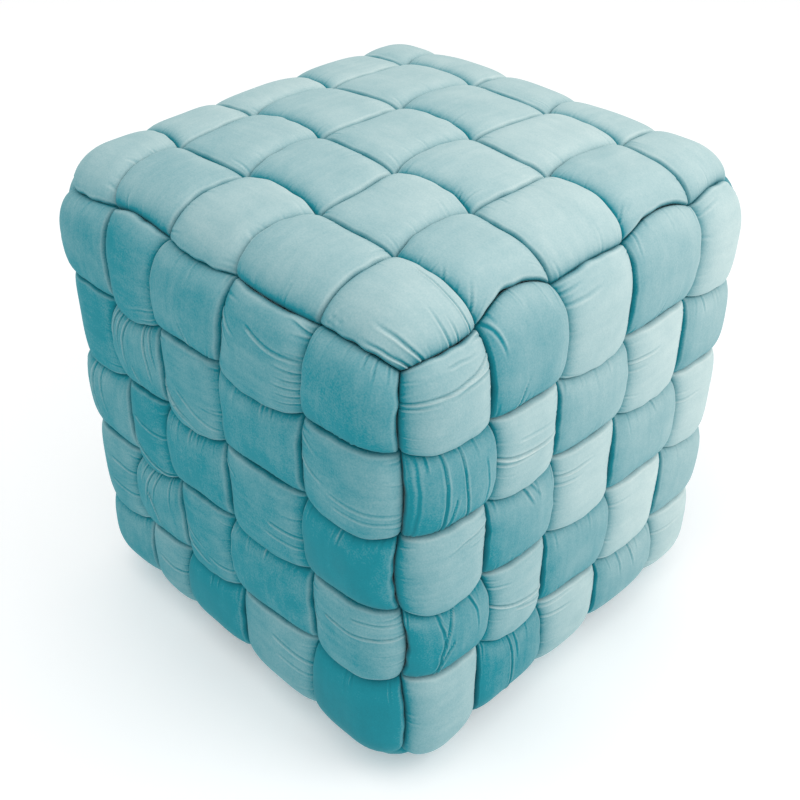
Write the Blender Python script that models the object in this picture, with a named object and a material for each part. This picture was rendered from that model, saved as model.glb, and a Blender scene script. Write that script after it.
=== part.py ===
# Cube pouf stool of padded velvet straps woven round a stuffed body.
# Metres, +Z up, the base on z = 0, the middle of the pouf on the Z axis.

import math

import bmesh
import bpy
from mathutils import Matrix, Vector

# Overall sizes
POUF_SIDE = 0.430          # across two pillow crowns, both ways
POUF_HEIGHT = 0.459        # floor to the middle crown of the top
PILLOWS = 5                # pillows along each edge of every face
SIDE_RADIUS = 0.040        # rounding of the cube's upright edges, at the seams
TOP_RADIUS = 0.047         # depth of the rounding under the top
BASE_RADIUS = 0.033        # depth of the rounding above the base
TOP_DOME = 0.018           # extra height of the top at its middle

# Straps
STRAP_RISE = 0.0055        # half the thickness of a padded strap
STRAP_FULLNESS = 2.3       # power of the pillow's profile, higher is fuller
PIECE_GAP = 0.0013         # clearance where one strap lies on another
SIDE_GAP = 0.0120          # clearance at a strap's side, in pillow widths
END_GAP = 0.0200           # clearance at a strap's turned-under end, in pillow widths
BODY_DEPTH = 0.0100        # from the seam surface down to the inside of the straps
BODY_GAP = 0.0005          # clearance between the straps and the body
BODY_EASE = 0.0010         # extra clearance of the body round the cube's edges
BASE_SQUASH = 0.0030       # how far the lowest pillows are pressed flat
TURN_UNDER = 1             # pillows of a strap's end that run under the base

# Places along one pillow at which a strap is shaped, in pillow lengths
STATIONS = (0.0, 0.20, 0.50, 0.80)
SECTION_POINTS = 8         # points round a strap's section

# How far the seams stand from an even spacing, in pillow widths, at lines 0 to 5.
# The level seams climb toward the upright edge between the front and the right.
SEAM_DRIFT = {
    "top_x": (0.0, -0.10, -0.02, 0.07, 0.05, 0.0),
    "top_y": (0.0, -0.12, -0.12, -0.03, 0.17, 0.0),
    "front_x": (0.0, -0.01, -0.27, -0.32, -0.08, 0.0),
    "right_y": (0.0, -0.01, -0.04, 0.0, 0.04, 0.0),
    "level": (0.0, 0.01, 0.02, 0.03, -0.03, 0.0),
    "level_climb": (0.0, 0.32, 0.23, 0.13, 0.11, 0.0),
}
CLIMB_REACH = 3.0          # how far along a side the climb fades out, in pillow widths

# Sizes that follow
SEAM_HALF = POUF_SIDE / 2 - 2 * STRAP_RISE
SEAM_TOP = POUF_HEIGHT - 2 * STRAP_RISE - TOP_DOME
SEAM_BOTTOM = 2 * STRAP_RISE - BASE_SQUASH
HALF_TALL = (SEAM_TOP - SEAM_BOTTOM) / 2
MIDDLE_Z = (SEAM_TOP + SEAM_BOTTOM) / 2
HALF_BEND = math.pi / 4    # an edge's rounding from a side to its middle

# Places at which the body is shaped along each edge, in pillow widths
BODY_STATIONS = (0.0, STATIONS[1], STATIONS[2], TURN_UNDER, PILLOWS / 2)

# The ring that a strap is made as before it is laid along its path
FORM_RADIUS = 1.0
FORM_SECTION = 0.2
SAME_POINT = 0.00001       # points closer than this are one point

# Velvet: colour, roughness, metallic
STRAP_LOOKS = {
    "x": ((0.330, 0.560, 0.585, 1.0), 0.82, 0.0),
    "y": ((0.300, 0.530, 0.555, 1.0), 0.82, 0.0),
    "z": ((0.345, 0.575, 0.600, 1.0), 0.82, 0.0),
}
BODY_LOOK = ((0.060, 0.190, 0.215, 1.0), 0.90, 0.0)


def clear_objects():
    for item in list(bpy.data.objects):
        bpy.data.objects.remove(item, do_unlink=True)


def held(value, low, high):
    return max(low, min(high, value))


# Fullness of a pillow: 1 at its middle, 0 at its seams.
def pillow_profile(station):
    return 1.0 - abs(2.0 * station - 1.0) ** STRAP_FULLNESS


# A place counted in pillows, laid out on one edge of the unrounded cube, so that
# every pillow is as long over the rounded edge as on the flat.
def laid_out(place, half, low_radius, high_radius):
    low_bend = low_radius * HALF_BEND
    high_bend = high_radius * HALF_BEND
    flat = 2 * half - low_radius - high_radius
    whole = low_bend + flat + high_bend
    arc = place / PILLOWS * whole
    if arc < low_bend:
        bend = held((low_bend - arc) / low_radius, 0.0, HALF_BEND)
        return low_radius - half - low_radius * math.tan(bend)
    if arc > low_bend + flat:
        bend = held((arc - low_bend - flat) / high_radius, 0.0, HALF_BEND)
        return half - high_radius + high_radius * math.tan(bend)
    return low_radius - half + arc - low_bend


def drift_at(row, place):
    line = int(held(math.floor(place), 0, PILLOWS - 1))
    part = place - line
    offsets = SEAM_DRIFT[row]
    return offsets[line] * (1.0 - part) + offsets[line + 1] * part


# Seam drift of a point whose three places are counted in pillows, blended over
# the edge pillows from the top to the front and the right side.
def drifted(across, deep, tall):
    near_top = held(tall - (PILLOWS - 1), 0.0, 1.0)
    near_front = held(1.0 - deep, 0.0, 1.0)
    near_right = held(across - (PILLOWS - 1), 0.0, 1.0)
    shift_x = drift_at("top_x", across) * near_top + drift_at("front_x", across) * near_front
    shift_y = drift_at("top_y", deep) * near_top + drift_at("right_y", deep) * near_right
    shift_x = shift_x / max(1.0, near_top + near_front)
    shift_y = shift_y / max(1.0, near_top + near_right)
    front_climb = near_front * held(1.0 - (PILLOWS - across) / CLIMB_REACH, 0.0, 1.0)
    right_climb = near_right * held(1.0 - deep / CLIMB_REACH, 0.0, 1.0)
    shift_z = drift_at("level", tall) * max(near_front, near_right)
    shift_z += drift_at("level_climb", tall) * max(front_climb, right_climb)
    return across + shift_x, deep + shift_y, tall + shift_z


# A point on the rounded cube, raised by height from the seam surface and eased
# inward where the cube is rounded.
def on_cube(across, deep, tall, height, ease=0.0):
    across, deep, tall = drifted(across, deep, tall)
    sharp = Vector((
        laid_out(across, SEAM_HALF, SIDE_RADIUS, SIDE_RADIUS),
        laid_out(deep, SEAM_HALF, SIDE_RADIUS, SIDE_RADIUS),
        laid_out(tall, HALF_TALL, BASE_RADIUS, TOP_RADIUS),
    ))
    flat_side = SEAM_HALF - SIDE_RADIUS
    core = Vector((
        held(sharp.x, -flat_side, flat_side),
        held(sharp.y, -flat_side, flat_side),
        held(sharp.z, BASE_RADIUS - HALF_TALL, HALF_TALL - TOP_RADIUS),
    ))
    upright_radius = TOP_RADIUS if sharp.z > core.z else BASE_RADIUS
    radii = Vector((SIDE_RADIUS, SIDE_RADIUS, upright_radius))
    turn = sharp - core
    turn = Vector([turn[axis] / radii[axis] for axis in range(3)]).normalized()
    outward = Vector([turn[axis] / radii[axis] for axis in range(3)]).normalized()
    flatness = max(abs(outward.x), abs(outward.y), abs(outward.z))
    height -= ease * math.sqrt(max(0.0, 1.0 - flatness ** 2))
    point = core + Vector([turn[axis] * radii[axis] for axis in range(3)]) + outward * height
    bow = max(0.0, 1.0 - (point.x / SEAM_HALF) ** 2)
    bow = bow * max(0.0, 1.0 - (point.y / SEAM_HALF) ** 2)
    point.z += TOP_DOME * bow * held(point.z / (HALF_TALL - TOP_RADIUS), 0.0, 1.0)
    point.z = max(0.0, point.z + MIDDLE_Z)
    return point


# Place of a strap that runs up one side, over the top and down the other side.
# Place 0 to 5 is the top, 5 to 10 the far side, -5 to 0 the near side.
def upright_place(place):
    if place < -PILLOWS:
        return -PILLOWS - place, 0.0
    if place < 0:
        return 0.0, place + PILLOWS
    if place <= PILLOWS:
        return place, PILLOWS
    if place <= 2 * PILLOWS:
        return PILLOWS, 2 * PILLOWS - place
    return 3 * PILLOWS - place, 0.0


def x_strap_place(place, lane):
    run, tall = upright_place(place)
    return run, lane, tall


def y_strap_place(place, lane):
    run, tall = upright_place(place)
    return lane, run, tall


# Place of a band that runs level round the sides, front side first.
def z_band_place(place, lane):
    tall = PILLOWS - lane
    side = int(place // PILLOWS) % 4
    run = place % PILLOWS
    if side == 0:
        return run, 0.0, tall
    if side == 1:
        return PILLOWS, run, tall
    if side == 2:
        return PILLOWS - run, PILLOWS, tall
    return 0.0, PILLOWS - run, tall


# Which way a strap bends at one place: 1 over its neighbours, -1 under them.
def weave_side(cell, lane, first_over):
    return 1.0 if (cell + lane + first_over) % 2 == 0 else -1.0


# Height of the strap's middle above the seam surface.
def weave_height(place, lane, first_over):
    cell = math.floor(place)
    return weave_side(cell, lane, first_over) * STRAP_RISE * pillow_profile(place - cell)


# One point of a strap's section: its place across the strap and its height.
def section_point(corner, middle_height, is_edge_lane):
    half = SECTION_POINTS // 2
    step = corner % SECTION_POINTS
    across_step = step if step <= half else SECTION_POINTS - step
    across = (STATIONS + (1.0,))[half - across_step]
    if across_step in (0, half):
        across = held(across, SIDE_GAP, 1.0 - SIDE_GAP)
        return across, middle_height
    if step < half:
        return across, middle_height + STRAP_RISE * pillow_profile(across) - PIECE_GAP / 2
    if not is_edge_lane:
        across = 0.5
    height = middle_height - STRAP_RISE * pillow_profile(across) + PIECE_GAP / 2
    return across, max(height, -BODY_DEPTH)


def places_between(first, last):
    places = []
    for cell in range(first, last):
        for station in STATIONS:
            places.append(cell + station)
    return places


def finish_mesh(name, mesh, look, group):
    material = bpy.data.materials.new(name + "_velvet")
    material.use_nodes = True
    shader = material.node_tree.nodes["Principled BSDF"]
    shader.inputs["Base Color"].default_value = look[0]
    shader.inputs["Roughness"].default_value = look[1]
    shader.inputs["Metallic"].default_value = look[2]
    data = bpy.data.meshes.new(name)
    bmesh.ops.remove_doubles(mesh, verts=mesh.verts, dist=SAME_POINT)
    bmesh.ops.triangulate(mesh, faces=mesh.faces)
    bmesh.ops.recalc_face_normals(mesh, faces=mesh.faces)
    for face in mesh.faces:
        face.smooth = True
    mesh.to_mesh(data)
    mesh.free()
    data.materials.append(material)
    item = bpy.data.objects.new(name, data)
    group.objects.link(item)
    return item


# The form of a strap: its section turned into a whole ring or half of one.
def strap_form(steps, is_closed):
    mesh = bmesh.new()
    upright = Matrix.Rotation(math.pi / 2, 4, "X")
    bmesh.ops.create_circle(
        mesh, segments=SECTION_POINTS, radius=FORM_SECTION,
        matrix=Matrix.Translation((FORM_RADIUS, 0.0, 0.0)) @ upright,
    )
    bmesh.ops.spin(
        mesh, geom=list(mesh.edges), cent=(0.0, 0.0, 0.0), axis=(0.0, 0.0, 1.0),
        angle=2 * math.pi if is_closed else math.pi, steps=steps, use_merge=is_closed,
    )
    bmesh.ops.remove_doubles(mesh, verts=mesh.verts, dist=SAME_POINT)
    if not is_closed:
        bmesh.ops.holes_fill(mesh, edges=mesh.edges, sides=0)
    return mesh


# Which step along its form and which corner of its section a point is.
def form_step(point, steps, is_closed):
    sweep = 2 * math.pi if is_closed else math.pi
    turn = math.atan2(round(point.y, 4), point.x) % (2 * math.pi)
    spread = math.hypot(point.x, point.y) - FORM_RADIUS
    corner = math.atan2(point.z, spread) / (2 * math.pi) * SECTION_POINTS
    return int(round(turn / sweep * steps)), int(round(corner))


# A strap's form, laid along its path over and under its neighbours.
def add_strap(name, lane, places, is_closed, place_of, first_over, look, group):
    steps = len(places) if is_closed else len(places) - 1
    mesh = strap_form(steps, is_closed)
    is_edge_lane = lane in (0, PILLOWS - 1)
    for vert in mesh.verts:
        step, corner = form_step(vert.co, steps, is_closed)
        place = places[step % len(places)]
        if not is_closed:
            place = held(place, places[0] + END_GAP, places[-1] - END_GAP)
        middle = weave_height(place, lane, first_over)
        across, height = section_point(corner, middle, is_edge_lane)
        vert.co = on_cube(*place_of(place, lane + across), height)
    return finish_mesh(name, mesh, look, group)


# The stuffed cube inside the straps, with the plain panel that shows under it.
# It starts as a cube one unit wide for each of its stations.
def add_body(group):
    stations = list(BODY_STATIONS)
    stations += [PILLOWS - station for station in reversed(BODY_STATIONS[:-1])]
    steps = len(stations) - 1
    middle_step = steps / 2
    panel_step = BODY_STATIONS.index(TURN_UNDER)
    mesh = bmesh.new()
    bmesh.ops.create_cube(mesh, size=steps)
    bmesh.ops.subdivide_edges(mesh, edges=mesh.edges, cuts=steps - 1, use_grid_fill=True)
    base_faces = []
    for face in mesh.faces:
        across, deep, tall = face.calc_center_median()
        is_panel = max(abs(across), abs(deep)) < middle_step - panel_step
        if is_panel and abs(tall + middle_step) < SAME_POINT:
            base_faces.append(face)
    panel = bmesh.ops.extrude_face_region(mesh, geom=base_faces)
    bmesh.ops.delete(mesh, geom=base_faces, context="FACES_KEEP_BOUNDARY")
    panel_verts = {item for item in panel["geom"] if isinstance(item, bmesh.types.BMVert)}
    for vert in mesh.verts:
        places = [stations[int(round(value + middle_step))] for value in vert.co]
        vert.co = on_cube(*places, -BODY_DEPTH - BODY_GAP, BODY_EASE)
        if vert in panel_verts:
            vert.co.z = 0.0
    return finish_mesh("filled_body", mesh, BODY_LOOK, group)


def build_pouf():
    clear_objects()
    group = bpy.data.collections.new("cube_pouf_stool")
    bpy.context.scene.collection.children.link(group)
    add_body(group)
    last_place = 2 * PILLOWS + TURN_UNDER
    upright = places_between(-PILLOWS - TURN_UNDER, last_place) + [last_place]
    level = places_between(0, 4 * PILLOWS)
    for lane in range(PILLOWS):
        number = str(lane + 1)
        add_strap("x_strap_" + number, lane, upright, False, x_strap_place, 0, STRAP_LOOKS["x"], group)
        add_strap("y_strap_" + number, lane, upright, False, y_strap_place, 1, STRAP_LOOKS["y"], group)
        add_strap("z_band_" + number, lane, level, True, z_band_place, 1, STRAP_LOOKS["z"], group)


build_pouf()
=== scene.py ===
import math

import bmesh
import bpy
import numpy as np
from mathutils import Matrix, Vector


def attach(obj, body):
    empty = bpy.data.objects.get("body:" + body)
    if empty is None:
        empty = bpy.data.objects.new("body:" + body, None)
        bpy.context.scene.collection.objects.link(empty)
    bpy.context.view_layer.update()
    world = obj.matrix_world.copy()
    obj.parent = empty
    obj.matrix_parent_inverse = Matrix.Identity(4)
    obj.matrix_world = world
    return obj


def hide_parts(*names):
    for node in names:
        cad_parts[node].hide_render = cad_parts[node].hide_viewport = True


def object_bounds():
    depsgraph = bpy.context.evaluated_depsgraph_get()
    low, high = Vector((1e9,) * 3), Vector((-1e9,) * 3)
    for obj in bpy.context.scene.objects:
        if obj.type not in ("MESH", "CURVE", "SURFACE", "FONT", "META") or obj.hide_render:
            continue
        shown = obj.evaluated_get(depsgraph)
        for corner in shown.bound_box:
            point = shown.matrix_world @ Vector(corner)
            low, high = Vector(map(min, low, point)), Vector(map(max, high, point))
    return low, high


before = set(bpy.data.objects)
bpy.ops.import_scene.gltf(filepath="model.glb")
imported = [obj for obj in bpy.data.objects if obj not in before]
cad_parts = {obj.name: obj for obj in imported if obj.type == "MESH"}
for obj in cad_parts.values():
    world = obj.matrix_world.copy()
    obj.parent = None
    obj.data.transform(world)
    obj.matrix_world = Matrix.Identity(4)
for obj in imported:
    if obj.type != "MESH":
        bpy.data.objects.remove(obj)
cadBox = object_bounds()
print("frame loaded")

# Camera at the photograph's angle
view = {
    "place": (0.6047, -0.6032, 0.8223),  # metres
    "azimuth": 45.10,                    # degrees round from the front
    "elevation": 36.50,
    "focalPixels": 1147.93,              # focal length in pixels of the photo
    "photoPixels": 800,                  # the photo is this wide and high
    "sensor": 36.0,                      # millimetres
    "clipStart": 0.01,
}


def addCamera():
    turn = math.radians(view["azimuth"])
    rise = math.radians(view["elevation"])
    level = math.cos(rise)
    back = Vector((math.sin(turn) * level, -math.cos(turn) * level, math.sin(rise)))
    lens = bpy.data.cameras.new("photoCamera")
    lens.sensor_width = view["sensor"]
    lens.lens = view["focalPixels"] / view["photoPixels"] * view["sensor"]
    lens.clip_start = view["clipStart"]
    camera = bpy.data.objects.new("photoCamera", lens)
    camera.location = view["place"]
    camera.rotation_euler = (-back).to_track_quat("-Z", "Y").to_euler()
    bpy.context.scene.collection.objects.link(camera)
    bpy.context.scene.camera = camera


addCamera()
print("camera placed")

# The stuffed cube that the straps wrap, as in the solids: lengths in metres, places
# counted in pillows
cube = {
    "pillows": 5,
    "seamDepth": 0.01035,   # from the outside of the solids in to the seams
    "topDome": 0.018,       # extra height of the top at its middle
    "seamBottom": 0.008,    # height of the lowest seam
    "sideRadius": 0.047,
    "topRadius": 0.053,
    "baseRadius": 0.048,
    "climbReach": 3.0,      # how far along a side the climb of the seams fades out
    "wander": 0.013,        # small unevenness of the seams, in pillows
    "wanderEdge": 0.25,     # how soon it fades out toward the cube's edges, as a power
    "quickShare": 0.6,      # strength of its quick waves
}
wanderWaves = (
    # slow wave: turns along X, Y and Z, start; quick wave: turns along X, Y and Z
    ((0.0, 2.1, 1.3), 0.4, (1.0, -3.1, 4.3)),
    ((1.7, 0.0, 1.9), 1.9, (3.7, 1.0, -4.1)),
    ((2.3, 1.6, 0.0), 3.1, (-3.3, 4.9, 1.0)),
)
# How far the seams stand from an even spacing, in pillow widths, at lines 0 to 5
seamDrift = {
    "topX": (0.0, -0.10, -0.02, 0.07, 0.05, 0.0),
    "topY": (0.0, -0.12, -0.12, -0.03, 0.17, 0.0),
    "frontX": (0.0, -0.01, -0.27, -0.32, -0.08, 0.0),
    "rightY": (0.0, -0.01, -0.04, 0.0, 0.04, 0.0),
    "level": (0.0, 0.01, 0.02, 0.03, -0.03, -0.04),
    "levelClimb": (0.0, 0.32, 0.23, 0.13, 0.11, 0.0),
}
pillows = cube["pillows"]
seamHalf = cadBox[1][0] - cube["seamDepth"]
seamTop = cadBox[1][2] - cube["seamDepth"] - cube["topDome"]
halfTall = (seamTop - cube["seamBottom"]) / 2
middleZ = (seamTop + cube["seamBottom"]) / 2
pillowSize = 2 * seamHalf / pillows  # about 82 mm
halfBend = math.pi / 4
flatSide = seamHalf - cube["sideRadius"]
coreLow = np.array((-flatSide, -flatSide, cube["baseRadius"] - halfTall))
coreHigh = np.array((flatSide, flatSide, halfTall - cube["topRadius"]))


def laidOut(place, half, lowRadius, highRadius):
    # A place along one edge of the unrounded cube, even in length over the rounding
    lowBend = lowRadius * halfBend
    highBend = highRadius * halfBend
    flat = 2 * half - lowRadius - highRadius
    arc = place / pillows * (lowBend + flat + highBend)
    low = np.clip((lowBend - arc) / lowRadius, 0.0, halfBend)
    high = np.clip((arc - lowBend - flat) / highRadius, 0.0, halfBend)
    middle = np.clip(arc - lowBend, 0.0, flat)
    return lowRadius - half + middle - lowRadius * np.tan(low) + highRadius * np.tan(high)


def driftAt(row, place):
    return np.interp(place, range(pillows + 1), seamDrift[row])


def drifted(places):
    # The seams' drift, blended over the edge pillows from the top to two sides
    across, deep, tall = places[:, 0], places[:, 1], places[:, 2]
    nearTop = np.clip(tall - (pillows - 1), 0.0, 1.0)
    nearFront = np.clip(1.0 - deep, 0.0, 1.0)
    nearRight = np.clip(across - (pillows - 1), 0.0, 1.0)
    shiftX = driftAt("topX", across) * nearTop + driftAt("frontX", across) * nearFront
    shiftY = driftAt("topY", deep) * nearTop + driftAt("rightY", deep) * nearRight
    shiftX = shiftX / np.maximum(1.0, nearTop + nearFront)
    shiftY = shiftY / np.maximum(1.0, nearTop + nearRight)
    frontClimb = nearFront * np.clip(1.0 - (pillows - across) / cube["climbReach"], 0.0, 1.0)
    rightClimb = nearRight * np.clip(1.0 - deep / cube["climbReach"], 0.0, 1.0)
    shiftZ = driftAt("level", tall) * np.maximum(nearFront, nearRight)
    shiftZ = shiftZ + driftAt("levelClimb", tall) * np.maximum(frontClimb, rightClimb)
    return np.stack((across + shiftX, deep + shiftY, tall + shiftZ), axis=1)


def wandered(places):
    # A small even wander, the same for all straps, so that no seam is dead straight
    inside = np.sin(np.pi * np.clip(places / pillows, 0.0, 1.0)) ** cube["wanderEdge"]
    shift = np.stack([
        np.sin(places @ slow + start) + cube["quickShare"] * np.sin(places @ quick)
        for slow, start, quick in wanderWaves
    ], axis=1)
    return places + cube["wander"] * shift * inside


def onCube(places, height):
    # Points on the rounded cube, raised by height from the seam surface
    places = drifted(wandered(places))
    sharp = np.stack((
        laidOut(places[:, 0], seamHalf, cube["sideRadius"], cube["sideRadius"]),
        laidOut(places[:, 1], seamHalf, cube["sideRadius"], cube["sideRadius"]),
        laidOut(places[:, 2], halfTall, cube["baseRadius"], cube["topRadius"]),
    ), axis=1)
    core = np.clip(sharp, coreLow, coreHigh)
    radii = np.full(sharp.shape, cube["sideRadius"])
    radii[:, 2] = np.where(sharp[:, 2] > core[:, 2], cube["topRadius"], cube["baseRadius"])
    turn = (sharp - core) / radii
    turn = turn / np.linalg.norm(turn, axis=1)[:, None]
    outward = turn / radii
    outward = outward / np.linalg.norm(outward, axis=1)[:, None]
    points = core + turn * radii + outward * height[:, None]
    bow = np.maximum(0.0, 1.0 - (points[:, 0] / seamHalf) ** 2)
    bow = bow * np.maximum(0.0, 1.0 - (points[:, 1] / seamHalf) ** 2)
    points[:, 2] += cube["topDome"] * bow * np.clip(points[:, 2] / coreHigh[2], 0.0, 1.0)
    points[:, 2] = np.maximum(0.0, points[:, 2] + middleZ)
    return points


# Padded straps. Heights are from the seam surface, in metres.
strap = {
    "crown": 0.0127,        # middle of a pillow
    "pit": -0.0012,         # where four pillows meet
    "arch": 0.0076,         # how far a seam rises between two pits
    "archPower": 4.2,       # the form of that arch: how flat its top is
    "archRound": 0.55,      # and how round its ends are
    "rimPower": 2.8,        # the same for a pillow's section across the strap
    "rimRound": 0.50,
    "openPower": 2.2,       # the same for how its crown rises from the tucked ends
    "openRound": 0.85,
    "bulge": 0.045,         # how far a pillow's sides bow out, in pillow widths
    "bulgeVary": 0.020,
    "rimWave": 0.006,       # small waves along the sides, in pillow widths
    "waveCounts": (3, 5, 8),
    "waveShares": (0.3, 1.0),
    "dent": 0.0004,         # soft dents in the filling
    "dentTurns": 2.6,       # how close they lie
    "tuck": 0.0046,         # how far a tucked end lies below the side over it
    "roll": 0.0041,         # how far a side rolls down to the tucked end
    "rollWidth": 0.0021,
    "innerArch": 0.9,       # how much of the arch the inside of a pillow follows
    "innerGap": 0.0006,
    "underside": 0.0003,
    "floorDepth": -0.0172,  # inside of the hidden runs
    "hiddenInset": 0.02,    # how much narrower a hidden run is on each side
    "weld": 1e-6,
    "outerPoints": 90,      # points across a strap's outside
    "innerPoints": 3,       # points across its hidden inside
    "overSteps": 34,        # steps along a pillow that shows
    "underSteps": 12,       # the same under the pouf
    "crownVary": 0.06,      # share by which pillows differ in fullness
    "crownSpread": (-1.5, 0.8),
    "topFullness": 0.86,    # the top's pillows are flatter
    "topTight": 0.45,       # share by which the tuck and the roll are less there
    "tightReach": 0.3,      # how far from the top's edges that starts, in pillows
}
dentWaves = (
    # strength; first wave: turns along X, Y and Z; second wave: the same and its start
    (1.0, (1.0, 1.7, 0.6), (0.0, 1.3, -1.1), 0.5),
    (0.6, (1.9, 0.0, 2.3), (2.7, -1.6, 0.0), 1.0),
)
# Seeds of the random draws: step for each family, step for each lane, start
seedSteps = {
    "fullness": (1, 10, 0),
    "crease": (1000, 40, 20),
    "firstSide": (5000, 60, 20),
    "lastSide": (5000, 60, 50),
    "napAndPaintedLight": (7, 1, 0),
}
wholeTurn = 6.3  # radians
drawnCells = 64  # draws for each strap, more than it has pillows
perMetre = 1000.0  # millimetres
keyBase = 100  # more than the half pillows along a side
hashTurn, hashScale = 12.9898, 43758.5453  # these scatter whole numbers between 0 and 1
# Pillows that are pulled in or fuller than the others: share of the usual fullness
setFullness = {
    ("z", 1, 0): 0.30,
    ("x", 1, 9): 0.80,
}
# How far the two sides of some pillows bow out, in pillow widths: the side at the start
# of the lane and the side at its end. A negative side bows in.
sideBulge = {
    # strap, lane, pillow: first side, last side
    ("x", 0, 4): (-0.02, -0.05),
    ("x", 1, 5): (0.05, 0.00),
    ("x", 3, 5): (0.04, -0.02),
    ("x", 0, 6): (-0.04, 0.05),
    ("x", 1, 7): (0.05, -0.01),
    ("x", 0, 8): (-0.06, 0.05),
    ("y", 4, 1): (0.05, -0.14),
    ("y", 4, 3): (0.05, -0.12),
    ("y", 4, -1): (-0.06, -0.02),
    ("y", 3, -2): (-0.09, 0.01),
    ("y", 1, -2): (0.09, 0.08),
    ("y", 1, -4): (0.14, 0.07),
    ("y", 4, -3): (0.02, -0.05),
    ("z", 0, 3): (-0.02, 0.07),
    ("z", 0, 5): (-0.03, 0.00),
    ("z", 0, 7): (0.02, 0.05),
    ("z", 1, 6): (0.01, 0.05),
    ("z", 2, 5): (0.03, 0.07),
    ("z", 3, 6): (0.01, 0.06),
}


def chanceFor(use, family, lane, cell=0):
    familyStep, laneStep, start = seedSteps[use]
    return np.random.default_rng(familyStep * ord(family) + laneStep * lane + cell + start)


def rounded(t, name):
    # From 0 to 1 and back to 0 as t goes from 0 to 1, in the form of that name
    form = 1.0 - np.abs(2.0 * t - 1.0) ** strap[name + "Power"]
    return np.clip(form, 0.0, 1.0) ** strap[name + "Round"]


def bowed(t):
    return 4.0 * t * (1.0 - t)


def onTop(family, cell):
    return (family != "z") & (cell >= 0) & (cell < pillows)


def uprightPlace(place):
    # Run and height of a strap that goes up one side, over the top and down the other
    run = np.clip(place, 0.0, pillows)
    run = np.where(place > 2 * pillows, 3 * pillows - place, run)
    run = np.where(place < -pillows, -pillows - place, run)
    tall = np.clip(np.where(place < 0, place + pillows, 2 * pillows - place), 0.0, pillows)
    return run, tall


def levelPlace(place):
    # Across and deep of a band that runs level round the sides, front first
    place = place % (4 * pillows)
    across = np.clip(place, 0.0, pillows) - np.clip(place - 2 * pillows, 0.0, pillows)
    deep = np.clip(place - pillows, 0.0, pillows) - np.clip(place - 3 * pillows, 0.0, pillows)
    return across, deep


def strapPlaces(family, place, lane):
    if family == "x":
        run, tall = uprightPlace(place)
        return np.stack((run, lane, tall), axis=1)
    if family == "y":
        run, tall = uprightPlace(place)
        return np.stack((lane, run, tall), axis=1)
    across, deep = levelPlace(place)
    return np.stack((across, deep, pillows - lane), axis=1)


def faceAxis(family, cell):
    # The axis that the cube's face at this pillow looks along, and its end
    if family == "z":
        side = cell // pillows % 4
        return np.where(side % 2 == 0, 1, 0), np.where((side == 1) | (side == 2), pillows, 0)
    runAxis = 0 if family == "x" else 1
    isUnder = (cell < -pillows) | (cell >= 2 * pillows)
    isTop = onTop(family, cell)
    axis = np.where(isTop | isUnder, 2, runAxis)
    end = np.where(isTop | ((cell >= pillows) & ~isUnder), pillows, 0)
    return axis, end


def wrapped(places, axis, end):
    # A place past the edge of its face goes on round the cube's edge
    rows = np.arange(len(places))
    past = np.maximum(0.0, places - pillows) + np.maximum(0.0, -places)
    past[rows, axis] = 0.0
    past = past.sum(axis=1)
    places = np.clip(places, 0.0, pillows)
    onward = end + np.where(end > 0, -1.0, 1.0) * past
    places[rows, axis] = np.where(past > 0.0, onward, places[rows, axis])
    return places


def seamKey(places):
    # One whole number for the middle of each stretch of seam
    halves = np.round(places * 2.0).astype(int)
    return (halves[:, 0] * keyBase + halves[:, 1]) * keyBase + halves[:, 2]


def bulgeTable():
    table = {}
    for (family, lane, cell), sides in sideBulge.items():
        for side, bulge in enumerate(sides):
            middle = strapPlaces(family, np.array([cell + 0.5]), np.array([float(lane + side)]))
            table[int(seamKey(middle)[0])] = bulge
    return table


def seamBulge(places):
    # How far the side over this stretch of seam bows out, the same from both sides
    keys = seamKey(places)
    scattered = np.sin(keys * hashTurn) * hashScale
    bulges = strap["bulge"] + strap["bulgeVary"] * (2.0 * (scattered - np.floor(scattered)) - 1.0)
    for key, bulge in placedBulges.items():
        bulges[keys == key] = bulge
    return bulges


placedBulges = bulgeTable()


def blended(count):
    # Even steps drawn a little toward both ends
    even = np.linspace(0.0, 1.0, count)
    return 0.5 * even + 0.5 * (0.5 - 0.5 * np.cos(np.pi * even))


hiddenSteps = (0.02, 0.2, 0.5, 0.8, 0.98)
firstOver = {"x": 0, "y": 1, "z": 1}


def strapStations(family, lane, firstCell, lastCell):
    # Cell, place in the cell and whether the strap shows there, station by station
    cells, steps, shows = [], [], []
    for cell in range(firstCell, lastCell):
        isOver = (cell + lane + firstOver[family]) % 2 == 0
        isUnder = family != "z" and not -pillows <= cell < 2 * pillows
        overSteps = blended(strap["underSteps" if isUnder else "overSteps"] + 1)
        for step in overSteps if isOver else hiddenSteps:
            cells.append(cell)
            steps.append(step)
            shows.append(isOver)
    return np.array(cells), np.array(steps), np.array(shows)


def strapForm(stations, isClosed):
    # A flat sheet with a column for each station and a row for each corner of the
    # section, and which station and corner each of its points is
    corners = strap["outerPoints"] + strap["innerPoints"]
    columns = stations if isClosed else stations - 1
    mesh = bmesh.new()
    bmesh.ops.create_grid(mesh, x_segments=columns, y_segments=corners, size=1.0)
    points = np.array([vert.co[:] for vert in mesh.verts])
    station = np.round((points[:, 0] + 1.0) / 2 * columns).astype(int) % stations
    corner = np.round((points[:, 1] + 1.0) / 2 * corners).astype(int) % corners
    return mesh, station, corner


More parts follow.
